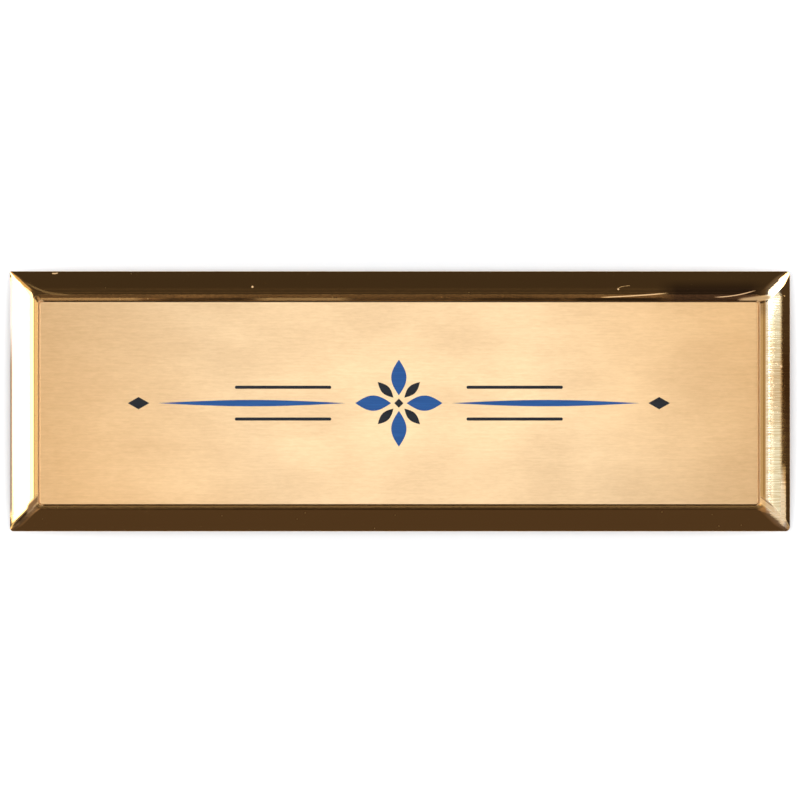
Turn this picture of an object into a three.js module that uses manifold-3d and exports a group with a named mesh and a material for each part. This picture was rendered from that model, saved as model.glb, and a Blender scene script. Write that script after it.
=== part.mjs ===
// A framed name badge. A pressed sheet-metal frame with a polished bevelled rim holds a brushed
// plate in its pocket, and a bar pin is stuck to its back. The badge lies face up, resting on the pin.
// Lengths are millimetres. X runs along the badge, Y up its face and Z out of it.
// The origin is on the floor, under the middle of the badge.
import * as THREE from "three";
import { mergeVertices } from "three/addons/utils/BufferGeometryUtils.js";
import Module from "manifold-3d";

// Badge and frame
const BADGE_LENGTH = 76.2;
const BADGE_WIDTH = 25.4;
const OUTER_CORNER_RADIUS = 0.45;
const FRAME_HEIGHT = 2.7; // foot of the skirt to the crest of the rim
const SKIRT_HEIGHT = 1.5;
const SKIRT_ROUND = 0.04;
const SHEET = 0.7; // thickness of the pressed metal
const END_BEVEL = 2.42; // outer edge to crest, on the two short rails
const SIDE_BEVEL = 2.28; // the same on the two long rails
const BEVEL_FULLNESS = 1.35; // 1 is a flat bevel, and more is rounder
const END_LAND = 0.49; // crest to pocket, on the short rails
const SIDE_LAND = 0.41; // the same on the long rails
const LAND_FALL = 0.12;
const LAND_FULLNESS = 1.15;
const LIP_ROUND = 0.08;
const POCKET_CORNER_RADIUS = 0.3;
const POCKET_DROP = 0.18; // the pocket is pressed a little below the middle of the badge
const POCKET_SHIFT = 0.11; // and a little to the left of it

// Brushed plate
const PLATE_THICKNESS = 0.5;
const PLATE_CLEARANCE = 0.13; // to the pocket's wall, on each side
const PLATE_RECESS = 0.06; // its face lies this far under the pocket's lip
const PLATE_EDGE = 0.06; // broken edge round its face
const ADHESIVE = 0.15; // film under the plate and under the pin's strip

// Bar pin
const PIN_LENGTH = 31.75;
const PIN_HEIGHT = 4.2; // foot to the outer face of its strip
const PIN_SHEET = 0.7;
const STRIP_WIDTH = 5.0;
const STRIP_CORNER_RADIUS = 0.8;
const STRIP_HOLE_RADIUS = 0.8;
const STRIP_HOLE_SPACING = 12.0;
const EAR_LENGTH = 3.8;
const EAR_CORNER_RADIUS = 1.0;
const BARREL_RADIUS = 1.1;
const NEEDLE_RADIUS = 0.45;
const NEEDLE_TAPER = 5.0;
const NEEDLE_OVERHANG = 0.6; // of the point, past the catch
const CATCH_LENGTH = 3.2;
const CATCH_BEND_RADIUS = 1.05;
const CATCH_LIP_HEIGHT = 2.0;
const CATCH_CLEARANCE = 0.12; // needle to the inside of the catch

// How finely round shapes are drawn
const CORNER_STEPS = 3;
const ROUND_STEPS = 3;
const BEND_STEPS = 6;
const HOLE_STEPS = 16;
const BARREL_SIDES = 20;
const NEEDLE_SIDES = 12;
const MERGE_DISTANCE = 1e-4;

// Where the face of the rim is cut into rings: 0 is the outer edge, 1 the crest, 2 the pocket's lip
const LAND_STATIONS = [1.75, 1.5, 1.25, 1];
const BEVEL_STATIONS = [0.95, 0.86, 0.72, 0.54, 0.36, 0.2];
// Where the groove under the rim is cut, from the skirt to the back of the pocket's wall
const GROOVE_SHARES = [0, 0.3, 0.6, 0.85, 1];
// A sloping wall is this much taller than it is thick
const SLOPE_ALLOWANCE = 1.15;

const lipHeight = FRAME_HEIGHT - LAND_FALL;
const plateTop = lipHeight - PLATE_RECESS;
const seatHeight = plateTop - PLATE_THICKNESS - ADHESIVE;
const panHeight = seatHeight - SHEET;
const footLift = PIN_HEIGHT + PIN_SHEET + ADHESIVE - panHeight;

const wasm = await Module();
wasm.setup();

const mix = (from, to, share) => from + (to - from) * share;

// A rectangle with round corners, as a three.js shape.
// Its middle goes from the badge's, where pressed is 0, to the pocket's, where pressed is 1.
function roundedRectangle(length, width, radius, pressed = 0) {
  const x = length / 2 - radius;
  const y = width / 2 - radius;
  const middleX = -POCKET_SHIFT * pressed;
  const middleY = -POCKET_DROP * pressed;
  const quarter = Math.PI / 2;
  const shape = new THREE.Shape();
  shape.absarc(middleX + x, middleY + y, radius, 0, quarter);
  shape.absarc(middleX - x, middleY + y, radius, quarter, 2 * quarter);
  shape.absarc(middleX - x, middleY - y, radius, 2 * quarter, 3 * quarter);
  shape.absarc(middleX + x, middleY - y, radius, 3 * quarter, 4 * quarter);
  return shape;
}

// One ring of a lofted piece: a rounded rectangle's points at one height
function ring(length, width, radius, height, pressed = 0) {
  const points = roundedRectangle(length, width, radius, pressed).getPoints(CORNER_STEPS);
  return points.map((p) => new THREE.Vector3(p.x, p.y, height));
}

// A closed solid through rings that run from its upper cap, round its outside, to its lower cap
function loft(rings) {
  const count = rings[0].length;
  const positions = rings.flat().flatMap((p) => [p.x, p.y, p.z]);
  const faces = [];
  for (let k = 0; k + 1 < rings.length; k++) {
    for (let i = 0; i < count; i++) {
      const a = k * count + i;
      const b = k * count + ((i + 1) % count);
      faces.push(a, a + count, b + count, a, b + count, b);
    }
  }
  const last = (rings.length - 1) * count;
  for (const [a, b, c] of THREE.ShapeUtils.triangulateShape(rings[0], [])) {
    faces.push(a, b, c);
  }
  for (const [a, b, c] of THREE.ShapeUtils.triangulateShape(rings.at(-1), [])) {
    faces.push(last + c, last + b, last + a);
  }
  const geometry = new THREE.BufferGeometry();
  geometry.setAttribute("position", new THREE.Float32BufferAttribute(positions, 3));
  geometry.setIndex(faces);
  geometry.computeVertexNormals();
  return geometry;
}

// How far in from the outer edge a station of the rim lies
const endInset = (station) => Math.min(station, 1) * END_BEVEL + Math.max(station - 1, 0) * END_LAND;
const sideInset = (station) => Math.min(station, 1) * SIDE_BEVEL + Math.max(station - 1, 0) * SIDE_LAND;

// Height of the rim's polished face above the foot
function faceHeight(station) {
  if (station <= 1) {
    const rise = FRAME_HEIGHT - SKIRT_HEIGHT;
    return SKIRT_HEIGHT + rise * (1 - (1 - station) ** BEVEL_FULLNESS);
  }
  return FRAME_HEIGHT - LAND_FALL * (station - 1) ** LAND_FULLNESS;
}

// A ring of the frame at a station of the rim
function rimRing(station, height) {
  return ring(
    BADGE_LENGTH - 2 * endInset(station),
    BADGE_WIDTH - 2 * sideInset(station),
    mix(OUTER_CORNER_RADIUS, POCKET_CORNER_RADIUS, station / 2),
    height,
    Math.max(station - 1, 0),
  );
}

// A ring of the groove behind the rim, between the skirt and the pocket's wall
function grooveRing(share, height) {
  const radius = mix(OUTER_CORNER_RADIUS / 2, POCKET_CORNER_RADIUS + SHEET, share);
  return ring(
    BADGE_LENGTH - 2 * mix(SHEET, endInset(2) - SHEET, share),
    BADGE_WIDTH - 2 * mix(SHEET, sideInset(2) - SHEET, share),
    radius,
    height,
    share,
  );
}

// Rings of a rounded edge of the rim, from one station and height to another round a corner
function edgeRings(from, corner, to) {
  const bend = new THREE.QuadraticBezierCurve(
    new THREE.Vector2(...from),
    new THREE.Vector2(...corner),
    new THREE.Vector2(...to),
  );
  return bend.getPoints(ROUND_STEPS).map((p) => rimRing(p.x, p.y));
}

// The pressed frame: pocket, land, crest, bevel and skirt, and the hollow behind them
function frameGeometry() {
  const lipStation = 2 - LIP_ROUND / SIDE_LAND;
  const edgeStation = SKIRT_ROUND / SIDE_BEVEL;
  const grooveHeight = (share) => {
    const onSide = mix(SHEET, sideInset(2) - SHEET, share) / SIDE_BEVEL;
    const onEnd = mix(SHEET, endInset(2) - SHEET, share) / END_BEVEL;
    return faceHeight(Math.min(onSide, onEnd, 1)) - SHEET * SLOPE_ALLOWANCE;
  };
  return loft([
    rimRing(2, seatHeight),
    ...edgeRings([2, lipHeight - LIP_ROUND], [2, lipHeight], [lipStation, faceHeight(lipStation)]),
    ...LAND_STATIONS.map((s) => rimRing(s, faceHeight(s))),
    ...BEVEL_STATIONS.map((s) => rimRing(s, faceHeight(s))),
    ...edgeRings([edgeStation, faceHeight(edgeStation)], [0, SKIRT_HEIGHT], [0, SKIRT_HEIGHT - SKIRT_ROUND]),
    rimRing(0, 0),
    grooveRing(0, 0),
    ...GROOVE_SHARES.map((share) => grooveRing(share, grooveHeight(share))),
    grooveRing(1, panHeight),
  ]);
}

// The brushed plate, with a broken edge round its face
function plateGeometry() {
  const length = BADGE_LENGTH - 2 * (endInset(2) + PLATE_CLEARANCE);
  const width = BADGE_WIDTH - 2 * (sideInset(2) + PLATE_CLEARANCE);
  const radius = POCKET_CORNER_RADIUS;
  return loft([
    ring(length - 2 * PLATE_EDGE, width - 2 * PLATE_EDGE, radius - PLATE_EDGE, PLATE_THICKNESS, 1),
    ring(length, width, radius, PLATE_THICKNESS - PLATE_EDGE, 1),
    ring(length, width, radius, 0, 1),
  ]);
}

// A three.js geometry as a manifold-3d solid
function solidOf(geometry) {
  const bare = geometry.clone();
  bare.deleteAttribute("normal");
  bare.deleteAttribute("uv");
  const merged = mergeVertices(bare, MERGE_DISTANCE);
  return new wasm.Manifold(
    new wasm.Mesh({
      numProp: 3,
      vertProperties: merged.attributes.position.array,
      triVerts: new Uint32Array(merged.index.array),
    }),
  );
}

// A manifold-3d solid as a three.js geometry
function geometryOf(solid) {
  const made = solid.getMesh();
  const geometry = new THREE.BufferGeometry();
  geometry.setAttribute("position", new THREE.BufferAttribute(made.vertProperties, 3));
  geometry.setIndex(new THREE.BufferAttribute(made.triVerts, 1));
  geometry.computeVertexNormals();
  return geometry;
}

// A flat shape given some depth, turned so that its own x, y and depth run along three axes
function extruded(shape, depth, along) {
  const options = { depth, bevelEnabled: false, curveSegments: BEND_STEPS };
  const turn = new THREE.Matrix4().makeBasis(...along.map((v) => new THREE.Vector3(...v)));
  return new THREE.ExtrudeGeometry(shape, options).applyMatrix4(turn);
}

// The pin's flat strip, with its two holes
function stripGeometry() {
  const strip = roundedRectangle(PIN_LENGTH, STRIP_WIDTH, STRIP_CORNER_RADIUS);
  for (const side of [-1, 1]) {
    const hole = new THREE.Path();
    hole.absarc((side * STRIP_HOLE_SPACING) / 2, 0, STRIP_HOLE_RADIUS, 0, 2 * Math.PI, true);
    strip.holes.push(hole);
  }
  const options = { depth: PIN_SHEET, bevelEnabled: false, curveSegments: HOLE_STEPS };
  return new THREE.ExtrudeGeometry(strip, options).translate(0, 0, PIN_HEIGHT);
}

// One ear of the hinge, folded out of the strip's edge
function earGeometry(side) {
  const ear = new THREE.Shape();
  const left = -PIN_LENGTH / 2 + STRIP_CORNER_RADIUS;
  const right = left + EAR_LENGTH;
  const root = PIN_HEIGHT + PIN_SHEET / 2;
  const radius = EAR_CORNER_RADIUS;
  ear.moveTo(right, root);
  ear.lineTo(left, root);
  ear.absarc(left + radius, radius, radius, Math.PI, 1.5 * Math.PI);
  ear.absarc(right - radius, radius, radius, 1.5 * Math.PI, 2 * Math.PI);
  const upright = extruded(ear, PIN_SHEET, [[1, 0, 0], [0, 0, 1], [0, -1, 0]]);
  return upright.translate(0, side * (STRIP_WIDTH - PIN_SHEET) / 2 + PIN_SHEET / 2, 0);
}

// The catch: a strip bent round into a hook, open to one side
function catchGeometry() {
  const outer = STRIP_WIDTH / 2;
  const inner = outer - PIN_SHEET;
  const bend = CATCH_BEND_RADIUS;
  const inside = bend - PIN_SHEET;
  const root = PIN_HEIGHT + PIN_SHEET / 2;
  const hook = new THREE.Shape();
  hook.moveTo(-inner, root);
  hook.lineTo(-outer, root);
  hook.absarc(-outer + bend, bend, bend, Math.PI, 1.5 * Math.PI);
  hook.absarc(outer - bend, bend, bend, 1.5 * Math.PI, 2 * Math.PI);
  hook.lineTo(outer, CATCH_LIP_HEIGHT);
  hook.lineTo(inner, CATCH_LIP_HEIGHT);
  hook.absarc(outer - bend, bend, inside, 0, 1.5 * Math.PI, true);
  hook.absarc(-outer + bend, bend, inside, 1.5 * Math.PI, Math.PI, true);
  const solid = extruded(hook, CATCH_LENGTH, [[0, 1, 0], [0, 0, 1], [1, 0, 0]]);
  return solid.translate(PIN_LENGTH / 2 - STRIP_CORNER_RADIUS - CATCH_LENGTH, 0, 0);
}

// The bar pin: strip, hinge, needle and catch as one plain closed piece
function pinGeometry() {
  const hingeX = -PIN_LENGTH / 2 + STRIP_CORNER_RADIUS + EAR_LENGTH / 2;
  const needleZ = PIN_SHEET + CATCH_CLEARANCE + NEEDLE_RADIUS;
  const barrelZ = needleZ + BARREL_RADIUS - NEEDLE_RADIUS;
  const tipX = PIN_LENGTH / 2 - STRIP_CORNER_RADIUS + NEEDLE_OVERHANG;
  const width = STRIP_WIDTH - PIN_SHEET;
  const barrel = new THREE.CylinderGeometry(BARREL_RADIUS, BARREL_RADIUS, width, BARREL_SIDES);
  const needle = new THREE.LatheGeometry(
    [
      new THREE.Vector2(0, 0),
      new THREE.Vector2(NEEDLE_RADIUS, 0),
      new THREE.Vector2(NEEDLE_RADIUS, tipX - NEEDLE_TAPER - hingeX),
      new THREE.Vector2(0, tipX - hingeX),
    ],
    NEEDLE_SIDES,
  );
  const pieces = [
    stripGeometry(),
    earGeometry(1),
    earGeometry(-1),
    catchGeometry(),
    barrel.translate(hingeX, 0, barrelZ),
    needle.rotateZ(-Math.PI / 2).translate(hingeX, 0, needleZ),
  ];
  return geometryOf(pieces.map(solidOf).reduce((whole, next) => whole.add(next)));
}

// A named mesh of the assembly, with its own material
function piece(name, geometry, color, roughness, position) {
  const material = new THREE.MeshStandardMaterial({ color, roughness, metalness: 1 });
  const mesh = new THREE.Mesh(geometry, material);
  mesh.name = name;
  mesh.position.set(...position);
  return mesh;
}

const badge = new THREE.Group();
const face = new THREE.Group();
face.position.z = footLift;
face.add(piece("frame", frameGeometry(), 0xd9a850, 0.12, [0, 0, 0]));
face.add(piece("insert_plate", plateGeometry(), 0xf2cf98, 0.4, [0, 0, seatHeight + ADHESIVE]));
badge.add(face);
badge.add(piece("bar_pin", pinGeometry(), 0xb9bcc0, 0.3, [0, 0, 0]));

export default badge;
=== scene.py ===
import math
from collections import namedtuple

import bmesh
import bpy
from mathutils import Matrix, Vector, noise


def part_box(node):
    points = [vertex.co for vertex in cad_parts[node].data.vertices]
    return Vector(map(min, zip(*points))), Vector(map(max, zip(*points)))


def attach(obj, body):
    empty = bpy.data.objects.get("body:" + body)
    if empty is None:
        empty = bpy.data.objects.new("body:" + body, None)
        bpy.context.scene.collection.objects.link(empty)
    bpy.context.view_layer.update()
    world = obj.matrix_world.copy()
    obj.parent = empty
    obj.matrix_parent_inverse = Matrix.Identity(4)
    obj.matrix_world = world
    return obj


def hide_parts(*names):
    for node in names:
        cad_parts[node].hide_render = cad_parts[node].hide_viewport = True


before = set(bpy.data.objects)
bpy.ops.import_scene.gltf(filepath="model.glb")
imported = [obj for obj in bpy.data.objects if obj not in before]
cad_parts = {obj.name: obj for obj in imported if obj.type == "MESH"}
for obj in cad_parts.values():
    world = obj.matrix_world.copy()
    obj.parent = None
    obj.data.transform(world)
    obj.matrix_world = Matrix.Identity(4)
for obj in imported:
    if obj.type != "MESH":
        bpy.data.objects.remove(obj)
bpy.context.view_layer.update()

# Lengths are millimetres until MM turns them into metres.
# X runs along the badge, Y up its face and Z out of it.
MM = 0.001

# The pressed frame, as the CAD has it
END_BEVEL = 2.42
SIDE_BEVEL = 2.28
END_LAND = 0.49
SIDE_LAND = 0.41
SKIRT_HEIGHT = 1.5
SHEET = 0.7
BEVEL_FULLNESS = 1.35
LAND_FALL = 0.12
LAND_FULLNESS = 1.15
OUTER_CORNER = 0.45
POCKET_CORNER = 0.3
POCKET_DROP = 0.18
POCKET_SHIFT = 0.11
SLOPE_ALLOWANCE = 1.15
PLATE_EDGE = 0.06
ADHESIVE = 0.15

# Finer than in the CAD, since these set the width of a highlight
SKIRT_ROUND = 0.02
LIP_ROUND = 0.05

# The bar pin, as the CAD has it
PIN_LENGTH = 31.75
PIN_HEIGHT = 4.2
PIN_SHEET = 0.7
STRIP_WIDTH = 5.0
STRIP_CORNER = 0.8
STRIP_HOLE_RADIUS = 0.8
STRIP_HOLE_SPACING = 12.0
EAR_LENGTH = 3.8
EAR_CORNER = 1.0
BARREL_RADIUS = 1.1
NEEDLE_RADIUS = 0.45
NEEDLE_TAPER = 5.0
NEEDLE_OVERHANG = 0.6
CATCH_LENGTH = 3.2
CATCH_BEND = 1.05
CATCH_LIP_HEIGHT = 2.0
CATCH_CLEARANCE = 0.12
PIN_EDGE = 0.1  # rounding or chamfer of its edges
BARREL_GAP = 0.05
NEEDLE_POINT = 0.02  # radius of the needle's very end
NEEDLE_FULLNESS = 1.4  # 1 makes the taper a cone, and more makes it rounder

# Unevenness of the pressed rim
WAVE_DEPTH = 0.02
WAVE_LENGTH = 11.0
WAVE_START = 0.25  # share of the bevel over which the wave grows, from nothing at its edge
WAVE_SLICE = 3.7  # height in the noise at which the rim's wave is read
SAG = 0.2  # how far the rim's corner falls at the upper end of its right rail
SAG_START = 7.8

# The rim's corners: radius of the outline, and radius and flatness of the hip where two bevels meet.
# Flatness runs from round at 0 to a straight cut at 1.
Corner = namedtuple("Corner", "outline hip flatness")
CORNERS = {
    "upper right": Corner(0.4, 0.85, 0.4),
    "upper left": Corner(0.15, 0.5, 0.0),
    "lower left": Corner(0.35, 0.6, 0.85),
    "lower right": Corner(0.45, 0.9, 0.4),
}
HIP_START = 0.25  # share of the bevel over which the outline's corner turns into the hip

# The printed ornament
INK = 0.02
INK_LIFT = 0.004
HUB = 0.9
PETAL_START = 0.75
PETAL_LENGTH = 3.5
PETAL_WIDTH = 1.5
SMALL_PETAL_LENGTH = 2.17
SMALL_PETAL_WIDTH = 0.825
RULE_START = 5.2
RULE_END = 23.5
RULE_WIDTH = 0.62
SIDE_RULE_START = 6.6
SIDE_RULE_END = 16.0
SIDE_RULE_WIDTH = 0.3
SIDE_RULE_OFFSET = 1.55
SIDE_RULE_CORNER = 0.135
LOZENGE_GAP = 1.9
LOZENGE_LENGTH = 2.1
LOZENGE_WIDTH = 1.2

# The camera looks straight down, so that the photograph's 800 pixels span VIEW_WIDTH at the rim
VIEW_WIDTH = 78.15
VIEW_RISE = 0.127
SENSOR = 36.0
LENS = 400.0

frame_low, frame_high = (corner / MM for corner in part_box("frame"))
plate_low, plate_high = (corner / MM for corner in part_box("insert_plate"))
LENGTH = frame_high.x - frame_low.x
WIDTH = frame_high.y - frame_low.y
FOOT = frame_low.z
CREST = frame_high.z


def mix(a, b, share):
    return a + (b - a) * share


# Materials


class Nodes:
    """A node tree that is written one node a line."""

    def __init__(self, owner):
        owner.use_nodes = True
        self.tree = owner.node_tree
        self.tree.nodes.clear()

    def add(self, kind, settings=None, **inputs):
        node = self.tree.nodes.new("ShaderNode" + kind)
        for name, value in (settings or {}).items():
            setattr(node, name, value)
        for name, value in inputs.items():
            key = int(name[1:]) if name[1:].isdigit() else name.replace("_", " ")
            if isinstance(value, bpy.types.NodeSocket):
                self.tree.links.new(value, node.inputs[key])
            else:
                node.inputs[key].default_value = value
        return node

    def math(self, operation, first, second=0.0, clamp=False):
        settings = {"operation": operation, "use_clamp": clamp}
        return self.add("Math", settings, _0=first, _1=second).outputs[0]

    def joined(self, operation, values):
        """Several values joined by one operation, from the first to the last."""
        result, *others = values
        for value in others:
            result = self.math(operation, result, value)
        return result

    def product(self, *values):
        return self.joined("MULTIPLY", values)

    def total(self, *values):
        return self.joined("ADD", values)

    def largest(self, *values):
        return self.joined("MAXIMUM", values)

    def noise(self, scale, detail=2.0, roughness=0.5):
        """Noise of the object's own place, stretched by a scale for each axis, in 1/mm."""
        place = self.add("TexCoord").outputs["Object"]
        scaled = self.add("Mapping", Vector=place, Scale=[s / MM for s in scale]).outputs[0]
        texture = self.add("TexNoise", Vector=scaled, Scale=1.0, Detail=detail, Roughness=roughness)
        return texture.outputs["Fac"]

    def voronoi(self, scale):
        """Distance to the nearest of scattered points, which lie about 1/scale mm apart."""
        place = self.add("TexCoord").outputs["Object"]
        return self.add("TexVoronoi", Vector=place, Scale=scale / MM).outputs["Distance"]

    def stroke(self, x, y, start, end, bow, width):
        """A thin line on the face, bowed sideways in its middle and fading towards its ends."""
        along = self.rise(x, start[0], end[0])
        bulge = self.product(along, self.math("SUBTRACT", 1.0, along))
        straight = self.ranged(along, 0.0, 1.0, start[1] * MM, end[1] * MM)
        line = self.total(straight, self.product(bulge, 4 * bow * MM))
        off = self.math("ABSOLUTE", self.math("SUBTRACT", y, line))
        return self.product(self.fall(off, 0.2 * width, 0.6 * width), self.ranged(bulge, 0.0, 0.15, 0.0, 1.0))

    def spot(self, x, y, middle, radius):
        """A soft round spot on the face."""
        offsets = [self.math("SUBTRACT", axis, place * MM) for axis, place in zip((x, y), middle)]
        squares = [self.product(offset, offset) for offset in offsets]
        return self.fall(self.math("SQRT", self.total(*squares)), 0.6 * radius, radius)

    def ranged(self, value, from_low, from_high, to_low, to_high):
        """A value carried from one range to another, and held there."""
        node = self.add("MapRange", _0=value, _1=from_low, _2=from_high, _3=to_low, _4=to_high)
        return node.outputs[0]

    def rise(self, axis, start, end):
        """From 0 to 1 between two places on an axis, in millimetres."""
        return self.ranged(axis, start * MM, end * MM, 0.0, 1.0)

    def fall(self, axis, start, end):
        """From 1 to 0 between two places on an axis, in millimetres."""
        return self.ranged(axis, start * MM, end * MM, 1.0, 0.0)

    def between(self, axis, low, high, soft):
        """1 between two places on an axis, and 0 beyond a soft margin, in millimetres."""
        return self.product(self.rise(axis, low - soft, low), self.fall(axis, high, high + soft))

    def tint(self, share, low, high):
        """A colour between two."""
        node = self.add("Mix", {"data_type": "RGBA"}, Factor=share)
        node.inputs[6].default_value = (*low, 1)
        node.inputs[7].default_value = (*high, 1)
        return node.outputs[2]

    def blend(self, share, first, second, how="MIX"):
        """Two colours mixed, or multiplied, where either may be a socket."""
        node = self.add("Mix", {"data_type": "RGBA", "blend_type": how}, Factor=share)
        for socket, value in ((node.inputs[6], first), (node.inputs[7], second)):
            if isinstance(value, bpy.types.NodeSocket):
                self.tree.links.new(value, socket)
            else:
                socket.default_value = value
        return node.outputs[2]

    def bump(self, height, distance, after=None):
        inputs = {"Height": height, "Distance": distance * MM, "Strength": 1.0}
        if after is not None:
            inputs["Normal"] = after
        return self.add("Bump", **inputs).outputs[0]

    def finish(self, shader):
        output = self.add("OutputMaterial")
        self.tree.links.new(shader.outputs[0], output.inputs["Surface"])


def new_material(name):
    material = bpy.data.materials.new(name)
    return material, Nodes(material)


# Marks on the rim's face, in millimetres: scratches, nicks and rubbing, and painted highlights, reflections
# and shade. A stroke runs between two points and bows sideways in its middle.
Stroke = namedtuple("Stroke", "start end bow width strength")
Spot = namedtuple("Spot", "middle radius")
# The first two strokes are painted highlights, swooshes of reflected light along the top crest; the others are
# scratches.
SCRATCHES_AND_CREST_HIGHLIGHTS = [
    Stroke((19.5, 10.14), (26.2, 10.56), -0.05, 0.11, 1.0),
    Stroke((30.6, 10.16), (34.75, 10.84), -0.17, 0.1, 1.0),
    Stroke((21.2, 11.05), (22.5, 11.28), 0.06, 0.09, 0.25),
    Stroke((-34.0, 12.5), (-33.4, 12.55), -0.04, 0.12, 1.0),
]
NICKS = [
    Spot((-14.4, 11.17), 0.12),
    Spot((21.3, 10.94), 0.1),
    Spot((37.2, 3.4), 0.13),
]
# Painted highlights: a tan patch at the land's upper right corner and a tan band on the lower right hip.
PAINTED_TAN_HIGHLIGHTS = [
    Stroke((32.9, 9.78), (36.5, 10.2), 0.0, 0.52, 1.0),
    Stroke((34.7, -9.3), (36.9, -10.95), 0.0, 0.8, 0.75),
]
# Painted brown reflections and shade lines: the lower left facet, thin dark lines at the lower corners, and a
# faint curve at the upper left.
PAINTED_BROWN_REFLECTIONS_AND_SHADE = [
    Stroke((-36.5, -10.65), (-34.8, -9.0), 0.0, 1.0, 1.0),
    Stroke((34.95, -9.15), (36.5, -10.35), 0.0, 0.16, 1.0),
    Stroke((-37.75, -12.0), (-35.9, -10.1), 0.0, 0.16, 1.0),
    Stroke((-36.7, 11.7), (-32.0, 10.42), -0.45, 0.22, 0.1),
]
# Painted shade: a stroke down the lower left hip and a spot at the lower right tip.
PAINTED_SHADE_HIPS = [Stroke((-38.1, -12.6), (-35.1, -9.95), 0.0, 1.0, 1.0)]
PAINTED_SHADE_TIPS = [Spot((37.95, -12.1), 0.6)]

# Stretches of the upper land that are darkened as painted shade, or rubbed matt
Stretch = namedtuple("Stretch", "start end soft strength")
PAINTED_SHADE_STRETCHES = [
    Stretch(-22.5, -15.5, 1.5, 0.5),
    Stretch(8.0, 15.5, 1.5, 0.5),
    Stretch(17.5, 25.0, 1.5, 0.8),
]
RUBBED_STRETCHES = [
    Stretch(-35.0, -26.0, 1.0, 0.13),
    Stretch(-13.0, -6.0, 1.5, 0.13),
]

# A point's place on the badge, and shares from 0 to 1 for how far it is on one stretch of the rim
RimPlace = namedtuple("RimPlace", "x y z past_mitre on_right low_down upper_land")


def rim_place(n):
    x, y, z = n.add("SeparateXYZ", Vector=n.add("TexCoord").outputs["Object"]).outputs
    from_side = n.math("SUBTRACT", WIDTH / 2 * MM, n.math("ABSOLUTE", y))
    from_end = n.math("SUBTRACT", LENGTH / 2 * MM, n.math("ABSOLUTE", x))
    past_mitre = n.math("SUBTRACT", from_side, n.product(from_end, SIDE_BEVEL / END_BEVEL))
    on_right = n.product(n.rise(x, 35.6, 35.8), n.rise(past_mitre, -0.8, 0.2))
    low_down = n.fall(y, -9.5, -6.0)
    upper_land = n.product(n.between(x, -35.0, 33.0, 0.5), n.between(y, 9.75, 10.06, 0.06))
    return RimPlace(x, y, z, past_mitre, on_right, low_down, upper_land)


def marks(n, at, strokes, spots=()):
    """The strongest at each point of some strokes and spots."""
    shares = []
    for mark in strokes:
        line = n.stroke(at.x, at.y, mark.start, mark.end, mark.bow, mark.width)
        shares.append(n.product(line, mark.strength))
    for mark in spots:
        shares.append(n.spot(at.x, at.y, mark.middle, mark.radius))
    return n.largest(*shares)


def stretches(n, at, table):
    """The sum at each point of some stretches along the badge."""
    return n.total(*[n.product(n.between(at.x, row.start, row.end, row.soft), row.strength) for row in table])


def gold_tone_with_painted_light(n, at, coarse, scuffed):
    """The polished gold's colour, with painted highlight and shade in it.

    The right rail is streaked, painted paler as a highlight, and painted darker in its middle as shade. The
    top rail is painted darker and less yellow near its right end, as shade on its crest. The creases and
    crests carry painted shade, and so do the lower corners.
    """
    # Painted highlight: the right rail's bevel is painted paler gold, short of its outer edge.
    reach = n.math("SUBTRACT", at.x, n.product(at.low_down, 0.45 * MM))
    color = n.tint(n.product(at.on_right, n.fall(reach, 37.0, 37.4)), (0.93, 0.55, 0.2), (0.98, 0.84, 0.6))
    streaks = n.product(n.ranged(coarse, 0.42, 0.58, 0.9, 0.0), scuffed)
    # Painted shade: the right rail's middle is painted dimmer.
    middle = n.product(n.rise(at.x, 36.0, 36.3), n.between(at.y, 0.3, 2.8, 3.5))
    # Painted shade that dims the crest and land near the right end of the top rail, darker and less yellow.
    painted_shade_top_right = n.product(n.between(at.x, 27.0, 34.2, 2.0), n.between(at.y, 9.0, 10.9, 1.0))
    # Painted shade: darker lines in the right crease and along the lower and upper crests.
    painted_right_crease_shade = n.product(n.between(at.x, 35.46, 35.54, 0.06), n.between(at.y, -9.0, 9.4, 0.6))
    painted_lower_crest_shade = n.product(n.between(at.x, -35.0, 35.0, 0.3), n.between(at.y, -10.56, -10.44, 0.05))
    painted_upper_crest_shade = n.product(n.between(at.x, -36.0, -25.0, 4.0), n.between(at.y, 10.12, 10.38, 0.04),
                            n.fall(at.past_mitre, -0.3, 0.0))
    # Shades that multiply the colour. All but the streaks are painted shade that dims the mirror's reflection:
    # the right rail's middle, the top rail near its right end, the right crease, the lower and upper crests,
    # and stretches of the upper land.
    darker = [
        (streaks, (0.8, 0.68, 0.56)),
        (middle, (0.84, 0.74, 0.66)),
        (painted_shade_top_right, (0.38, 0.37, 0.5)),
        (painted_right_crease_shade, (0.66, 0.6, 0.5)),
        (painted_lower_crest_shade, (0.5, 0.5, 0.5)),
        (painted_upper_crest_shade, (0.5, 0.5, 0.5)),
        (n.product(stretches(n, at, PAINTED_SHADE_STRETCHES), at.upper_land), (0.05, 0.05, 0.05)),
    ]
    for share, shade in darker:
        color = n.blend(share, color, (*shade, 1), "MULTIPLY")
    # Painted shade at the lower left corner, past the mitre.
    painted_corner_shade = n.product(n.between(at.past_mitre, 0.25, 0.5, 0.3), n.between(at.x, -38.5, -35.9, 0.2),
                      n.between(at.y, -13.0, -9.5, 1.0))
    color = n.blend(painted_corner_shade, color, (0.17, 0.1, 0.028, 1))
    # Painted shade on the lower left hip and the lower right tip.
    return n.blend(marks(n, at, PAINTED_SHADE_HIPS, PAINTED_SHADE_TIPS), color, (0.5, 0.56, 0.75, 1), "MULTIPLY")


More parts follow.
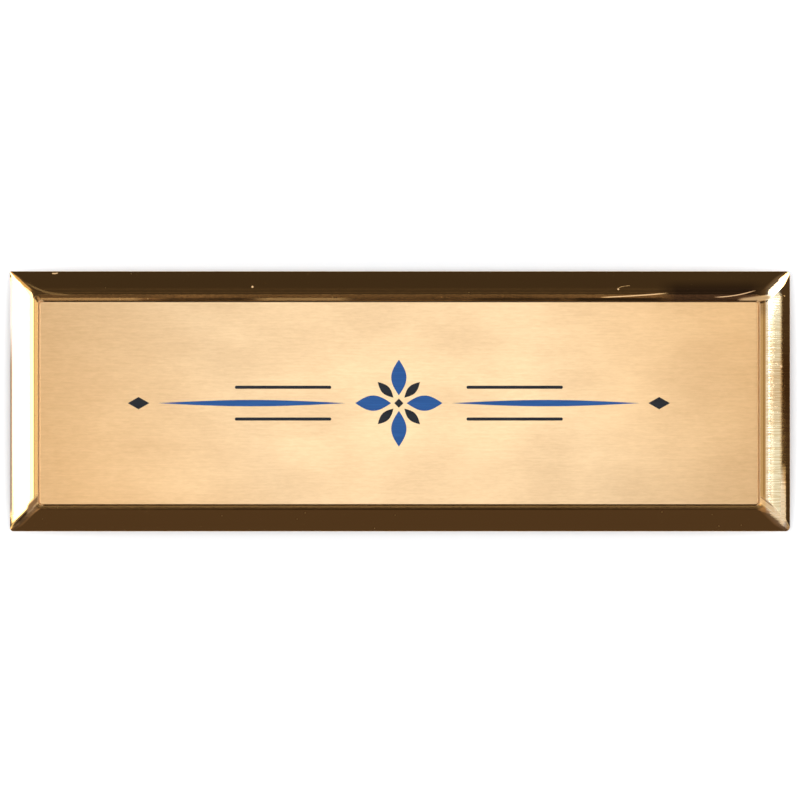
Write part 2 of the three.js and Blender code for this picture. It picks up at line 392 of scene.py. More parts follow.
def wear_and_painted_light(n, at, coarse):
    """What is dull on the polished gold, as shares and their colours.

    These are the left edge, paler at its upper end, a rubbed line low on the right rail, painted highlights at
    the land's upper right corner and on the lower right hip, painted brown reflections and shade lines at the
    hips, and scratches and nicks with painted highlights along the top crest.
    """
    skirt_top = FOOT + SKIRT_HEIGHT
    left_edge = n.product(n.fall(at.x, -37.92, -37.84), n.rise(at.z, skirt_top - 0.15, skirt_top),
                          n.between(at.y, -10.5, 11.2, 1.0))
    edge_shade = n.tint(n.fall(at.y, 3.5, 7.5), (0.62, 0.56, 0.5), (0.25, 0.19, 0.13))
    rubbed = n.product(n.rise(at.past_mitre, 0.2, 0.7), n.between(at.x, 37.2, 37.6, 0.12), at.low_down,
                       n.ranged(coarse, 0.4, 0.6, 0.5, 1.0))
    return [
        (left_edge, edge_shade),
        (rubbed, (0.42, 0.31, 0.19, 1)),
        (marks(n, at, PAINTED_TAN_HIGHLIGHTS), (0.33, 0.21, 0.1, 1)),
        (marks(n, at, PAINTED_BROWN_REFLECTIONS_AND_SHADE), (0.15, 0.08, 0.035, 1)),
        (marks(n, at, SCRATCHES_AND_CREST_HIGHLIGHTS, NICKS), (0.5, 0.32, 0.17, 1)),
    ]


def polished_gold():
    """Mirror gold plate, with polishing lines along the badge, a faint haze, small specks, worn marks, and
    painted highlights, reflections and shade.

    The right rail has coarser lines, which stop short of its upper end.
    """
    material, n = new_material("polished_gold")
    lines = n.noise((1.5, 8.0, 1.5), detail=3.0, roughness=0.65)
    coarse = n.noise((0.35, 7.0, 0.35), detail=3.0, roughness=0.6)
    haze = n.noise((0.25, 0.25, 0.25), detail=4.0)
    at = rim_place(n)
    scuffed = n.product(at.on_right, n.fall(at.y, 7.0, 9.5),
                        n.between(at.z, FOOT + SKIRT_HEIGHT, CREST, 0.1))
    color = gold_tone_with_painted_light(n, at, coarse, scuffed)
    dull = 0.0
    # Lays on worn marks and painted highlights, reflections and shade as matt colour.
    for share, shade in wear_and_painted_light(n, at, coarse):
        color = n.blend(share, color, shade)
        dull = n.largest(dull, share)
    lower_land = n.product(n.between(at.x, -35.1, 35.1, 0.3), n.between(at.y, -10.33, -9.0, 0.06), 0.08)
    hazy = n.total(lower_land, n.product(at.upper_land, stretches(n, at, RUBBED_STRETCHES)))
    metal = n.math("SUBTRACT", n.ranged(dull, 0.0, 1.0, 1.0, 0.0), hazy)
    speck = n.ranged(n.voronoi(0.8), 0.04, 0.075, 1.0, 0.0)
    rough = n.total(n.ranged(haze, 0.35, 0.75, 0.04, 0.09), n.product(speck, 0.22), n.product(dull, 0.5))
    normal = n.bump(n.product(coarse, scuffed), 0.004, n.bump(lines, 0.005))
    n.finish(n.add("BsdfPrincipled", Base_Color=color, Metallic=metal, Roughness=rough, Normal=normal,
                   Specular_IOR_Level=n.ranged(dull, 0.0, 1.0, 0.5, 0.0)))
    return material


def pressed_gold_back():
    """The gold plate behind the rim, satin, as the press left it."""
    material, n = new_material("pressed_gold_back")
    mottle = n.noise((0.6, 0.6, 0.6), detail=5.0, roughness=0.6)
    grain = n.noise((6.0, 6.0, 6.0), detail=2.0)
    color = n.tint(n.ranged(mottle, 0.3, 0.7, 0.0, 1.0), (0.62, 0.36, 0.14), (0.8, 0.5, 0.21))
    rough = n.ranged(mottle, 0.3, 0.7, 0.32, 0.45)
    normal = n.bump(grain, 0.012)
    n.finish(n.add("BsdfPrincipled", Base_Color=color, Metallic=1.0, Roughness=rough, Normal=normal))
    return material


def brushed_gold():
    """Gold metal brushed along its length, with painted shade that deepens its tone towards its ends."""
    material, n = new_material("brushed_gold")
    fine = n.noise((1.2, 5.0, 1.0), detail=4.0, roughness=0.6)
    long = n.noise((0.2, 7.0, 1.0), detail=3.0, roughness=0.6)
    cloud = n.noise((0.12, 0.2, 0.2), detail=2.0)
    grain = n.total(n.product(fine, 0.65), n.product(long, 0.35))
    share = n.ranged(grain, 0.36, 0.64, 0.0, 1.0)
    color = n.tint(share, (0.885, 0.6, 0.315), (0.975, 0.68, 0.37))
    x, y, _ = n.add("SeparateXYZ", Vector=n.add("TexCoord").outputs["Object"]).outputs
    # Painted shade: the tone deepens towards the plate's ends, along a line that slants across it.
    along = n.math("ABSOLUTE", n.total(x, n.product(y, 0.5)))
    deeper = n.blend(n.rise(along, 16, 36), color, (1.0, 0.9, 0.76, 1), "MULTIPLY")
    rough = n.ranged(cloud, 0.35, 0.65, 0.37, 0.43)
    normal = n.bump(grain, 0.008)
    tangent = n.add("Tangent", {"direction_type": "UV_MAP"}).outputs[0]
    shader = n.add("BsdfPrincipled", Base_Color=deeper, Metallic=0.8, Roughness=rough,
                   Anisotropic=0.75, Anisotropic_Rotation=0.25, Tangent=tangent, Normal=normal)
    n.finish(shader)
    return material


def pocket_gold():
    """Unpolished gold plating in the pocket, painted dark along its sides as shade in the gaps, and painted
    lighter at the pocket's ends, where it covers the lip too, as light that catches there.
    """
    material, n = new_material("pocket_gold")
    mottle = n.noise((1.5, 1.5, 1.5), detail=4.0)
    x, _, z = n.add("SeparateXYZ", Vector=n.add("TexCoord").outputs["Object"]).outputs
    # Painted shade and light: the sides are dark mottled plating for the shaded gaps, and at the ends the
    # plating is lighter, darker on the lip than deeper down.
    end = n.rise(n.math("ABSOLUTE", x), 34.7, 34.9)
    deep = n.fall(z, plate_high.z - 0.1, plate_high.z + 0.02)
    painted_end_light = n.tint(deep, (0.42, 0.26, 0.12), (0.95, 0.64, 0.3))
    color = n.blend(end, n.tint(mottle, (0.12, 0.07, 0.03), (0.25, 0.15, 0.06)), painted_end_light)
    rough = n.ranged(mottle, 0.3, 0.7, 0.45, 0.6)
    metal = n.ranged(end, 0.0, 1.0, 1.0, 0.3)
    n.finish(n.add("BsdfPrincipled", Base_Color=color, Metallic=metal, Roughness=rough))
    return material


def nickel():
    """Nickel-plated steel, a little dulled."""
    material, n = new_material("nickel")
    haze = n.noise((0.5, 0.5, 0.5), detail=4.0)
    lines = n.noise((0.5, 8.0, 8.0), detail=2.0)
    color = n.tint(n.ranged(haze, 0.3, 0.7, 0.0, 1.0), (0.55, 0.53, 0.5), (0.72, 0.71, 0.68))
    rough = n.ranged(haze, 0.3, 0.7, 0.2, 0.34)
    normal = n.bump(lines, 0.004)
    n.finish(n.add("BsdfPrincipled", Base_Color=color, Metallic=1.0, Roughness=rough, Normal=normal))
    return material


def ink(name, low, high):
    """Printed ink, thin and satin, with the brushing showing through a little."""
    material, n = new_material(name)
    grain = n.noise((0.4, 11.0, 1.0), detail=3.0)
    color = n.tint(n.ranged(grain, 0.35, 0.65, 0.0, 1.0), low, high)
    rough = n.ranged(grain, 0.35, 0.65, 0.38, 0.5)
    shader = n.add("BsdfPrincipled", Base_Color=color, Roughness=rough, Specular_IOR_Level=0.3,
                   Normal=n.bump(grain, 0.003))
    n.finish(shader)
    return material


# Shapes

CROWDING = 0.9  # 0 spaces the points of a straight side evenly, and 1 lets them meet at its ends


def new_piece(name, vertices, faces, materials, smooth_below=35.0):
    """A piece from vertices in millimetres."""
    mesh = bpy.data.meshes.new(name)
    mesh.from_pydata([Vector(v) * MM for v in vertices], [], faces)
    return dress(name, mesh, materials, smooth_below)


def dress(name, mesh, materials, smooth_below=35.0):
    """A mesh made into a piece that rides on the badge, shaded smooth apart from its sharp edges."""
    mesh.validate()
    mesh.shade_smooth()
    mesh.set_sharp_from_angle(angle=math.radians(smooth_below))
    piece = bpy.data.objects.new(name, mesh)
    bpy.context.scene.collection.objects.link(piece)
    for material in materials:
        mesh.materials.append(material)
    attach(piece, "root")
    return piece


def corner_points(cx, cy, radius, flatness, turn, steps):
    """Points of one corner, round a centre, from round at a flatness of 0 to a straight cut at 1."""
    points = []
    for step in range(steps + 1):
        share = step / steps
        angle = math.pi / 2 * (turn + share)
        first, last = math.pi / 2 * turn, math.pi / 2 * (turn + 1)
        x = mix(math.cos(angle), mix(math.cos(first), math.cos(last), share), flatness)
        y = mix(math.sin(angle), mix(math.sin(first), math.sin(last), share), flatness)
        points.append((cx + radius * x, cy + radius * y))
    return points


def outline_with_corners(length, width, corners, middle, corner_steps, long_steps, short_steps):
    """Points anticlockwise round a rectangle, from its upper right corner.

    A corner is a radius and a flatness. The points of the sides lie closer together towards the corners.
    """
    arcs = []
    for turn, (sign_x, sign_y) in enumerate([(1, 1), (-1, 1), (-1, -1), (1, -1)]):
        radius, flatness = corners[turn]
        cx = middle[0] + sign_x * (length / 2 - radius)
        cy = middle[1] + sign_y * (width / 2 - radius)
        arcs.append(corner_points(cx, cy, radius, flatness, turn, corner_steps))
    points = []
    for turn, arc in enumerate(arcs):
        points += arc
        start, end = arc[-1], arcs[(turn + 1) % 4][0]
        steps = (long_steps, short_steps)[turn % 2]
        for step in range(1, steps):
            share = step / steps
            share -= CROWDING * math.sin(2 * math.pi * share) / (2 * math.pi)
            points.append((mix(start[0], end[0], share), mix(start[1], end[1], share)))
    return points


def rounded_outline(length, width, radius, middle=(0.0, 0.0), corner_steps=10, long_steps=1, short_steps=1):
    """The same with four round corners of one radius."""
    corners = [(radius, 0.0)] * 4
    return outline_with_corners(length, width, corners, middle, corner_steps, long_steps, short_steps)


def loft(rings):
    """Vertices and faces of a closed solid through rings, from its upper cap to its lower cap."""
    count = len(rings[0])
    faces = [tuple(range(count))]
    for k in range(len(rings) - 1):
        for i in range(count):
            a, b = k * count + i, k * count + (i + 1) % count
            faces.append((a, a + count, b + count, b))
    last = (len(rings) - 1) * count
    faces.append(tuple(last + i for i in reversed(range(count))))
    return [point for ring in rings for point in ring], faces


# The pressed frame

CORNER_STEPS = 10
LONG_STEPS = 150
SHORT_STEPS = 60
LIP_STEPS = 6
LAND_STEPS = 14
BEVEL_STEPS = 30
EDGE_STEPS = 8
GROOVE_STEPS = 12
SKIRT_FOOT = 0.06  # height of the skirt's last ring above its foot
POCKET_END = 0.2  # how far inside the plate's ends the pocket's ends begin


def end_inset(station):
    return min(station, 1) * END_BEVEL + max(station - 1, 0) * END_LAND


def side_inset(station):
    return min(station, 1) * SIDE_BEVEL + max(station - 1, 0) * SIDE_LAND


def face_height(station):
    """Height of the rim's face above its foot. Station 0 is the edge, 1 the crest and 2 the pocket."""
    height = CREST - FOOT
    if station <= 1:
        return SKIRT_HEIGHT + (height - SKIRT_HEIGHT) * (1 - (1 - station) ** BEVEL_FULLNESS)
    return height - LAND_FALL * (station - 1) ** LAND_FULLNESS


def waved(x, y):
    """How far the rim's face lies under its true height there, since pressed metal is never quite even."""
    wave = noise.noise(Vector((x, y, WAVE_SLICE)) / WAVE_LENGTH)
    return WAVE_DEPTH * min(max(0.5 + wave, 0), 1)


def sagged(x, y):
    """How far the rim has sagged there, at the upper end of its right rail and a little past the mitre."""
    up = max((y - SAG_START) / (WIDTH / 2 - SAG_START), 0)
    past_mitre = (WIDTH / 2 - y) / SIDE_BEVEL - (LENGTH / 2 - x) / END_BEVEL
    on_rail = min(max(past_mitre + 0.3, 0), 1)
    return SAG * up * up * on_rail * on_rail * (3 - 2 * on_rail)


def rim_corners(station):
    """Radius and flatness of the rim's four corners at a station."""
    blend = min(station / HIP_START, 1)
    corners = []
    for corner in CORNERS.values():
        radius = mix(mix(corner.outline, corner.hip, blend), POCKET_CORNER, max(station - 1, 0))
        corners.append((radius, corner.flatness * blend))
    return corners


def rim_ring(station, height, wave=1.0, sag=1.0):
    """One ring of the rim's front, with a share of its wave and of its sag."""
    pressed = max(station - 1, 0)
    outline = outline_with_corners(
        LENGTH - 2 * end_inset(station), WIDTH - 2 * side_inset(station), rim_corners(station),
        (-POCKET_SHIFT * pressed, -POCKET_DROP * pressed), CORNER_STEPS, LONG_STEPS, SHORT_STEPS)
    return [(x, y, FOOT + height - wave * waved(x, y) - sag * sagged(x, y)) for x, y in outline]


def groove_ring(share, height):
    """One ring of the hollow behind the rim, from its outer wall at 0 to its inner one at 1."""
    outline = rounded_outline(
        LENGTH - 2 * mix(SHEET, end_inset(2) - SHEET, share),
        WIDTH - 2 * mix(SHEET, side_inset(2) - SHEET, share),
        mix(OUTER_CORNER / 2, POCKET_CORNER + SHEET, share),
        (-POCKET_SHIFT * share, -POCKET_DROP * share), CORNER_STEPS, LONG_STEPS, SHORT_STEPS)
    return [(x, y, FOOT + height) for x, y in outline]


def pocket_floor():
    """Height of the pocket's floor above the rim's foot."""
    return plate_low.z - FOOT - ADHESIVE


def bend(start, corner, end, steps):
    """Points of a rounded edge, from start to end."""
    points = []
    for step in range(steps + 1):
        t = step / steps
        points.append(tuple((1 - t) ** 2 * a + 2 * t * (1 - t) * b + t * t * c
                            for a, b, c in zip(start, corner, end)))
    return points


def front_rings():
    """The rim's front, from the pocket's floor over lip, land and bevel down to the skirt's foot."""
    lip = face_height(2)
    lip_station = 2 - LIP_ROUND / SIDE_LAND
    edge_station = SKIRT_ROUND / SIDE_BEVEL
    rings = [rim_ring(2, pocket_floor(), 0, 0)]
    lip_end = (lip_station, face_height(lip_station))
    for station, height in bend((2, lip - LIP_ROUND), (2, lip), lip_end, LIP_STEPS):
        rings.append(rim_ring(station, height))
    land = [mix(lip_station, 1, k / LAND_STEPS) for k in range(1, LAND_STEPS + 1)]
    bevel = [1 - (k / BEVEL_STEPS) ** 2 * (1 - edge_station) for k in range(1, BEVEL_STEPS)]
    for station in land + bevel:
        rings.append(rim_ring(station, face_height(station), min(1, station / WAVE_START)))
    edge_end = (0, SKIRT_HEIGHT - SKIRT_ROUND)
    edge = bend((edge_station, face_height(edge_station)), (0, SKIRT_HEIGHT), edge_end, EDGE_STEPS)
    for station, height in edge:
        rings.append(rim_ring(station, height, min(1, station / WAVE_START)))
    rings.append(rim_ring(0, SKIRT_FOOT, 0, 0))
    return rings


def back_rings():
    """The rim's foot and the hollow behind it, as far as the back of the pocket's floor."""
    rings = [rim_ring(0, 0, 0, 0), groove_ring(0, 0)]
    for k in range(GROOVE_STEPS + 1):
        share = k / GROOVE_STEPS
        on_side = mix(SHEET, side_inset(2) - SHEET, share) / SIDE_BEVEL
        on_end = mix(SHEET, end_inset(2) - SHEET, share) / END_BEVEL
        height = face_height(min(on_side, on_end, 1)) - SHEET * SLOPE_ALLOWANCE
        rings.append(groove_ring(share, height))
    rings.append(groove_ring(1, pocket_floor() - SHEET))
    return rings


def make_frame(materials):
    """The frame. Its materials are those of its front, its back and its pocket."""
    front, back = front_rings(), back_rings()
    vertices, faces = loft(front + back)
    piece = new_piece("frame_pressed", vertices, faces, materials)
    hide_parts("frame")
    count = len(front[0])
    for polygon in piece.data.polygons:
        first, last = min(polygon.vertices) // count, max(polygon.vertices) // count
        at_end = abs(polygon.center.x / MM) > plate_high.x - POCKET_END
        in_pocket = last <= (LIP_STEPS + 1 if at_end else 1)
        polygon.material_index = 2 if in_pocket else 1 if first >= len(front) else 0
    return piece


# The brushed plate

PLATE_EDGE_STEPS = 5
PLATE_CORNER_STEPS = 8


def make_plate(material):
    """The plate with its rounded upper edge, and with the coordinates that its brushing follows."""
    length, width = plate_high.x - plate_low.x, plate_high.y - plate_low.y
    middle = ((plate_high.x + plate_low.x) / 2, (plate_high.y + plate_low.y) / 2)
    rings = []
    for step in range(PLATE_EDGE_STEPS + 1):
        turn = math.pi / 2 * step / PLATE_EDGE_STEPS
        inset = PLATE_EDGE * (1 - math.sin(turn))
        outline = rounded_outline(length - 2 * inset, width - 2 * inset, POCKET_CORNER - inset, middle,
                                  PLATE_CORNER_STEPS)
        rings.append([(x, y, plate_high.z - PLATE_EDGE * (1 - math.cos(turn))) for x, y in outline])
    rings.append([(x, y, plate_low.z) for x, y, _ in rings[-1]])
    vertices, faces = loft(rings)
    piece = new_piece("plate_brushed", vertices, faces, [material], smooth_below=50.0)
    layer = piece.data.uv_layers.new(name="along")
    for loop in piece.data.loops:
        x, y, _ = piece.data.vertices[loop.vertex_index].co / MM
        layer.data[loop.index].uv = ((x - plate_low.x) / length, (y - plate_low.y) / length)
    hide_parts("insert_plate")
    return piece


# Flat shapes with rounded edges

PETAL_STEPS = 16
RULE_CORNER_STEPS = 4
STRIP_CORNER_STEPS = 8
SLAB_EDGE_STEPS = 3


def slab(name, outlines, thickness, edge, materials, turn=None):
    """Closed outlines, holes among them, made thick upwards from zero; turn moves each point to its place."""
    curve = bpy.data.curves.new(name, "CURVE")
    curve.dimensions = "2D"
    curve.fill_mode = "BOTH"
    curve.extrude = (thickness / 2 - edge) * MM
    curve.bevel_depth = edge * MM
    curve.bevel_resolution = SLAB_EDGE_STEPS
    curve.offset = -edge * MM
    for outline in outlines:
        spline = curve.splines.new("POLY")
        spline.points.add(len(outline) - 1)
        spline.use_cyclic_u = True
        for point, (x, y) in zip(spline.points, outline):
            point.co = (x * MM, y * MM, 0, 1)
    holder = bpy.data.objects.new(name, curve)
    bpy.context.scene.collection.objects.link(holder)
    bpy.context.view_layer.update()
    graph = bpy.context.evaluated_depsgraph_get()
    mesh = bpy.data.meshes.new_from_object(holder.evaluated_get(graph))
    bpy.data.objects.remove(holder)
    bpy.data.curves.remove(curve)
    mesh.materials.clear()
    mesh.name = name
    welded = bmesh.new()
    welded.from_mesh(mesh)
    bmesh.ops.remove_doubles(welded, verts=welded.verts, dist=1e-7)
    for vertex in welded.verts:
        place = vertex.co / MM + Vector((0, 0, thickness / 2))
        vertex.co = Vector(turn(*place) if turn else place) * MM
    bmesh.ops.recalc_face_normals(welded, faces=welded.faces)
    welded.to_mesh(mesh)
    welded.free()
    return dress(name, mesh, materials)


def lozenge(x, y, length, width):
    """A pointed tile round a middle."""
    return [(x + length / 2, y), (x, y + width / 2), (x - length / 2, y), (x, y - width / 2)]


def petal(angle, start, length, width):
    """A pointed oval that starts a little way out from the middle, at an angle."""
    sides = []
    for k in range(PETAL_STEPS + 1):
        share = k / PETAL_STEPS
        sides.append((start + length * share, width / 2 * math.sin(math.pi * share)))
    sides += [(x, -y) for x, y in reversed(sides[1:-1])]
    return [(x * math.cos(angle) - y * math.sin(angle), x * math.sin(angle) + y * math.cos(angle))
            for x, y in sides]


def star(count, turn, length, width):
    """Petals round the middle, turned by a share of the angle between two."""
    step = 2 * math.pi / count
    return [petal(step * (k + turn), PETAL_START, length, width) for k in range(count)]


def side_rules(side):
    """The two thin rules above and below the tapering rule on one side."""
    length = SIDE_RULE_END - SIDE_RULE_START
    middle = side * (SIDE_RULE_START + SIDE_RULE_END) / 2
    return [rounded_outline(length, SIDE_RULE_WIDTH, SIDE_RULE_CORNER, (middle, up * SIDE_RULE_OFFSET),
                            RULE_CORNER_STEPS) for up in (-1, 1)]


def make_print(blue, charcoal):
    """A plain symmetrical ornament: four petals, tapering rules, thin side rules and lozenges."""
    cx, cy = (plate_high.x + plate_low.x) / 2, (plate_high.y + plate_low.y) / 2

    def centred(outline):
        return [(cx + x, cy + y) for x, y in outline]

    def on_plate(x, y, z):
        return (x, y, plate_high.z + INK_LIFT + z)

    blue_shapes = star(4, 0, PETAL_LENGTH, PETAL_WIDTH)
    blue_shapes += [petal(side, RULE_START, RULE_END - RULE_START, RULE_WIDTH) for side in (0, math.pi)]
    dark_shapes = [lozenge(0, 0, HUB, HUB), *star(4, 0.5, SMALL_PETAL_LENGTH, SMALL_PETAL_WIDTH)]
    for side in (-1, 1):
        dark_shapes.append(lozenge(side * (RULE_END + LOZENGE_GAP), 0, LOZENGE_LENGTH, LOZENGE_WIDTH))
        dark_shapes += side_rules(side)
    prints = [("print_blue", blue_shapes, blue), ("print_charcoal", dark_shapes, charcoal)]
    for name, shapes, material in prints:
        slab(name, [centred(s) for s in shapes], INK, INK / 4, [material], on_plate)


# The bar pin

PIN_ARC_STEPS = 8
HOLE_STEPS = 32
BARREL_SIDES = 32
NEEDLE_SIDES = 20
TAPER_STEPS = 12


def upright(side):
    """Puts a slab that was drawn along X and up onto one side of the strip."""
    def turn(x, y, z):
        return (x, side * (STRIP_WIDTH / 2 - PIN_SHEET / 2) + PIN_SHEET / 2 - z, y)
    return turn


def arc(cx, cy, radius, start, end):
    """Points round a centre, between two angles in degrees."""
    angles = [math.radians(mix(start, end, step / PIN_ARC_STEPS)) for step in range(PIN_ARC_STEPS + 1)]
    return [(cx + radius * math.cos(angle), cy + radius * math.sin(angle)) for angle in angles]


def ear_outline():
    """An ear of the hinge seen from its side: along the badge, and up."""
    left = -PIN_LENGTH / 2 + STRIP_CORNER
    right = left + EAR_LENGTH
    top = PIN_HEIGHT + PIN_SHEET / 2
    return [(right, top), (left, top),
            *arc(left + EAR_CORNER, EAR_CORNER, EAR_CORNER, 180, 270),
            *arc(right - EAR_CORNER, EAR_CORNER, EAR_CORNER, 270, 360)]


def catch_outline():
    """The catch seen from its end: across the badge, and up."""
    outer = STRIP_WIDTH / 2
    top = PIN_HEIGHT + PIN_SHEET / 2
    left, right = -outer + CATCH_BEND, outer - CATCH_BEND
    inside = CATCH_BEND - PIN_SHEET
    return [(PIN_SHEET - outer, top), (-outer, top),
            *arc(left, CATCH_BEND, CATCH_BEND, 180, 270),
            *arc(right, CATCH_BEND, CATCH_BEND, 270, 360),
            (outer, CATCH_LIP_HEIGHT), (outer - PIN_SHEET, CATCH_LIP_HEIGHT),
            *arc(right, CATCH_BEND, inside, 360, 270),
            *arc(left, CATCH_BEND, inside, 270, 180)]


def turned(name, profile, place, axis, materials, sides):
    """A round piece from (distance along, radius) points, from one end on its axis to the other."""
    rings = []
    for along, radius in profile:
        ring = []
        for k in range(sides):
            angle = 2 * math.pi * k / sides
            across, up = radius * math.cos(angle), radius * math.sin(angle)
            ring.append((along, -across, up) if axis == "x" else (across, along, up))
        rings.append([tuple(Vector(point) + Vector(place)) for point in ring])
    vertices, faces = loft(list(reversed(rings)))
    return new_piece(name, vertices, faces, materials)


def make_strip(material):
    strip = rounded_outline(PIN_LENGTH, STRIP_WIDTH, STRIP_CORNER, corner_steps=STRIP_CORNER_STEPS)
    holes = []
    for side in (-1, 1):
        middle = side * STRIP_HOLE_SPACING / 2
        angles = [2 * math.pi * k / HOLE_STEPS for k in range(HOLE_STEPS)]
        holes.append([(middle + STRIP_HOLE_RADIUS * math.cos(angle), STRIP_HOLE_RADIUS * math.sin(angle))
                      for angle in angles])

    def at_top(x, y, z):
        return (x, y, PIN_HEIGHT + z)

    base = slab("pin_strip", [strip, *holes], PIN_SHEET, PIN_EDGE, [material], at_top)
    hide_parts("bar_pin")


def make_catch(material):
    catch_x = PIN_LENGTH / 2 - STRIP_CORNER - CATCH_LENGTH

    def at_end(x, y, z):
        return (catch_x + z, x, y)

    slab("pin_catch", [catch_outline()], CATCH_LENGTH, PIN_EDGE, [material], at_end)


def make_ears(material):
    for name, side in (("pin_ear_upper", 1), ("pin_ear_lower", -1)):
        slab(name, [ear_outline()], PIN_SHEET, PIN_EDGE, [material], upright(side))


def make_barrel_and_needle(material):
    hinge_x = -PIN_LENGTH / 2 + STRIP_CORNER + EAR_LENGTH / 2
    needle_z = PIN_SHEET + CATCH_CLEARANCE + NEEDLE_RADIUS
    barrel_z = needle_z + BARREL_RADIUS - NEEDLE_RADIUS
    half = STRIP_WIDTH / 2 - PIN_SHEET - BARREL_GAP
    edge_radius = BARREL_RADIUS - PIN_EDGE
    barrel = [(-half, BARREL_RADIUS / 2), (-half, edge_radius), (-half + PIN_EDGE, BARREL_RADIUS),
              (half - PIN_EDGE, BARREL_RADIUS), (half, edge_radius), (half, BARREL_RADIUS / 2)]
    turned("pin_barrel", barrel, (hinge_x, 0, barrel_z), "y", [material], BARREL_SIDES)
    tip = PIN_LENGTH / 2 - STRIP_CORNER + NEEDLE_OVERHANG
    needle = [(hinge_x, NEEDLE_RADIUS), (tip - NEEDLE_TAPER, NEEDLE_RADIUS)]
    for k in range(1, TAPER_STEPS):
        share = k / TAPER_STEPS
        radius = NEEDLE_RADIUS * (1 - share ** NEEDLE_FULLNESS)
        needle.append((tip - NEEDLE_TAPER * (1 - share), radius))
    needle.append((tip - NEEDLE_POINT / 2, NEEDLE_POINT))
    turned("pin_needle", needle, (0, 0, needle_z), "x", [material], NEEDLE_SIDES)


def make_pin(material):
    make_strip(material)
    make_ears(material)
    make_catch(material)
    make_barrel_and_needle(material)


# Floor, lights and camera

FLOOR_REACH = 1500.0
MATT_STRENGTH = 1.34  # of the room's light on what is matt
BACKDROP = (0.93, 0.93, 0.94)


def make_floor():
    mesh = bpy.data.meshes.new("floor")
    corners = [(x * FLOOR_REACH, y * FLOOR_REACH, 0) for x, y in ((-1, -1), (1, -1), (1, 1), (-1, 1))]
    mesh.from_pydata([Vector(c) * MM for c in corners], [], [(0, 1, 2, 3)])
    floor = bpy.data.objects.new("floor", mesh)
    bpy.context.scene.collection.objects.link(floor)
    material, n = new_material("pale_floor")
    color = n.tint(n.noise((0.02, 0.02, 0.02)), (0.75, 0.77, 0.79), (0.77, 0.79, 0.81))
    shader = n.add("BsdfPrincipled", Base_Color=color, Roughness=0.9, Specular_IOR_Level=0.0)
    n.finish(shader)
    mesh.materials.append(material)


def softbox(name, tilt, spread, radiance, distance=900.0, turn=0.0, only=None):
    """An area light that faces the badge, tilted from straight overhead towards the right.

    Its spread is the angle that it takes up, along and across, and its radiance is for red, green and blue.
    Only polished metal shows it, since the dome lights what is matt. A list of pieces keeps it to them.
    """
    lamp = bpy.data.lights.new(name, "AREA")
    lamp.shape = "RECTANGLE"
    lamp.size, lamp.size_y = (2 * distance * math.tan(math.radians(angle / 2)) * MM for angle in spread)
    lamp.energy = math.pi * lamp.size * lamp.size_y
    n = Nodes(lamp)
    on_matt = n.math("MINIMUM", n.add("LightPath").outputs["Diffuse Depth"], 1.0)
    glow = n.add("Emission", Color=(*radiance, 1), Strength=n.math("SUBTRACT", 1.0, on_matt))
    output = n.add("OutputLight")
    n.tree.links.new(glow.outputs[0], output.inputs["Surface"])
    hang(name, lamp, tilt, turn, distance, only)


def hang(name, lamp, tilt, turn, distance, only=None, matt=False):
    """Puts a lamp at a distance from the badge, where it lights either what is matt or what is polished."""
    holder = bpy.data.objects.new(name, lamp)
    facing = Matrix.Rotation(math.radians(turn), 4, "Z") @ Matrix.Rotation(math.radians(tilt), 4, "Y")
    holder.matrix_world = facing @ Matrix.Translation((0, 0, distance * MM))
    holder.visible_camera = False
    holder.visible_diffuse = matt
    holder.visible_glossy = not matt
    bpy.context.scene.collection.objects.link(holder)
    if only:
        lit = bpy.data.collections.new(name + "_lit")
        for piece in only:
            lit.objects.link(piece)
        holder.light_linking.receiver_collection = lit


def overhead_light(tilt, spread, radiance, distance=400.0):
    """A small bright light overhead for what is matt, so that the badge's shadow stays close round it."""
    lamp = bpy.data.lights.new("overhead_light", "AREA")
    lamp.shape = "DISK"
    lamp.size = 2 * distance * math.tan(math.radians(spread / 2)) * MM
    lamp.energy = radiance * math.pi * math.pi / 4 * lamp.size ** 2
    hang("overhead_light", lamp, tilt, 0, distance, matt=True)


def band(n, axis, middle, half, soft, strength):
    """Light where an axis is near a value, fading over a soft edge."""
    far = n.math("ABSOLUTE", n.math("SUBTRACT", axis, middle))
    return n.ranged(far, half, half + soft, strength, 0.0)


def dim_room(n, across, along):
    """The dim room in polished metal, with faint edges, the ends of a bench and brighter corners."""
    room = n.ranged(along, -0.6, 0.6, 0.085, 0.055)
    edges = n.total(band(n, along, 0.56, 0.012, 0.02, 0.05), band(n, along, 0.72, 0.01, 0.02, 0.03))
    bench_ends = n.total(n.ranged(across, -0.034, -0.028, 0.27, 0.0),
                         n.ranged(across, 0.036, 0.04, 0.0, 0.27))
    bench_edge = n.math("SUBTRACT", band(n, along, -0.3, 0.02, 0.08, 0.045),
                        band(n, along, -0.45, 0.03, 0.06, 0.04))
    bench = n.total(n.product(band(n, along, -0.38, 0.08, 0.05, 1.0), bench_ends), bench_edge)
    sideways = n.ranged(n.math("ABSOLUTE", across), 0.12, 0.45, 0.0, 0.09)
    corners = n.product(sideways, n.ranged(n.math("ABSOLUTE", along), 0.12, 0.4, 0.0, 1.0))
    warmth = n.tint(n.ranged(along, -0.5, 0.5, 0.0, 1.0), (1.0, 0.79, 0.69), (1.0, 0.86, 0.77))
    return n.add("Background", Color=warmth, Strength=n.total(room, edges, bench, corners))


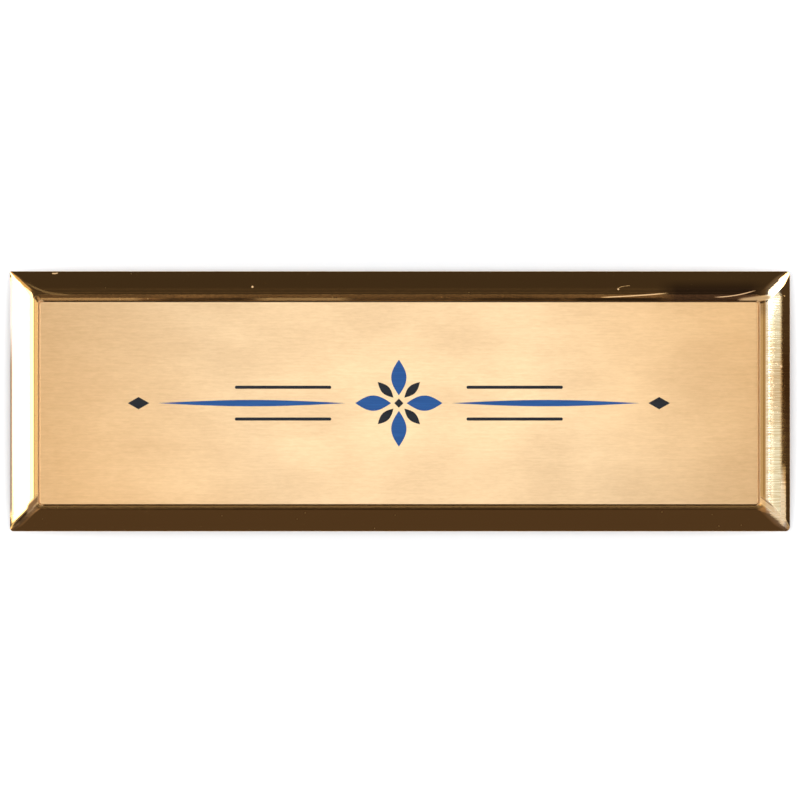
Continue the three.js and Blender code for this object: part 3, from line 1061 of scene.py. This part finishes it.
def bright_room(n, across, along, up):
    """What is bright in polished metal: a strip of light overhead, across the badge, and the pale horizon."""
    strip = n.product(band(n, along, 0.0, 0.05, 0.07, 1.0), n.ranged(up, 0.6, 0.8, 0.0, 1.0),
                      n.ranged(across, 0.02, 0.25, 0.5, 0.9))
    horizon = n.product(n.ranged(up, 0.1, 0.22, 0.8, 0.0),
                        n.ranged(n.math("ABSOLUTE", along), 0.5, 0.85, 1.0, 0.15),
                        n.ranged(across, 0.4, 0.8, 1.0, 0.4))
    return n.add("Background", Color=(1, 1, 1, 1), Strength=n.total(strip, horizon))


def make_dome():
    """The room: bright to what is matt, pale behind the scene, and mostly dim in the polished metal."""
    world = bpy.data.worlds.new("room")
    bpy.context.scene.world = world
    world.cycles.sampling_method = "NONE"
    n = Nodes(world)
    place = n.add("TexCoord").outputs["Generated"]
    across, along, up = n.add("SeparateXYZ", Vector=place).outputs
    dim, bright = dim_room(n, across, along), bright_room(n, across, along, up)
    polished = n.add("AddShader", _0=dim.outputs[0], _1=bright.outputs[0])
    matt = n.add("Background", Color=(1, 1, 1, 1), Strength=MATT_STRENGTH)
    behind = n.add("Background", Color=(*BACKDROP, 1), Strength=1.0)
    ray = n.add("LightPath").outputs
    lit = n.add("MixShader", _0=ray["Is Glossy Ray"], _1=matt.outputs[0], _2=polished.outputs[0])
    seen = n.add("MixShader", _0=ray["Is Camera Ray"], _1=lit.outputs[0], _2=behind.outputs[0])
    output = n.add("OutputWorld")
    n.tree.links.new(seen.outputs[0], output.inputs["Surface"])


def make_camera():
    camera = bpy.data.cameras.new("camera")
    camera.sensor_width = SENSOR
    camera.lens = LENS
    camera.clip_start, camera.clip_end = 0.01, 10
    holder = bpy.data.objects.new("camera", camera)
    holder.location = Vector((0, VIEW_RISE, FOOT + SKIRT_HEIGHT + VIEW_WIDTH * LENS / SENSOR)) * MM
    bpy.context.scene.collection.objects.link(holder)
    bpy.context.scene.camera = holder


def make_lights(plate):
    """The lights, whose radiances are for red, green and blue."""
    overhead_light(tilt=-0.7, spread=9, radiance=72.0)
    softbox("left_outer_softbox", -56.5, (24, 46), (6.0, 6.0, 6.0))
    softbox("left_inner_softbox", -35.5, (17, 40), (3.0, 2.9, 3.4))
    softbox("left_high_softbox", -50, (28, 28), (0.62, 0.52, 0.36), turn=-38)
    softbox("right_inner_softbox", 44.0, (8, 24), (0.28, 0.28, 0.26))
    softbox("right_outer_softbox", 55.2, (15.5, 24), (0.82, 0.86, 0.81))
    softbox("right_high_softbox", 50.0, (24, 23), (5.0, 5.0, 5.0), turn=20)
    softbox("right_low_softbox", 50.0, (24, 26), (0.45, 0.46, 0.44), turn=-28)
    softbox("plate_softbox", -0.6, (27, 36), (1.59, 1.73, 1.98), distance=260.0, only=[plate])


def main():
    make_frame([polished_gold(), pressed_gold_back(), pocket_gold()])
    plate = make_plate(brushed_gold())
    make_print(ink("ink_blue", (0.003, 0.045, 0.17), (0.005, 0.06, 0.21)),
               ink("ink_charcoal", (0.005, 0.007, 0.011), (0.01, 0.014, 0.019)))
    make_pin(nickel())
    make_floor()
    make_dome()
    make_lights(plate)
    make_camera()
    bpy.context.scene.view_settings.view_transform = "Standard"


main()
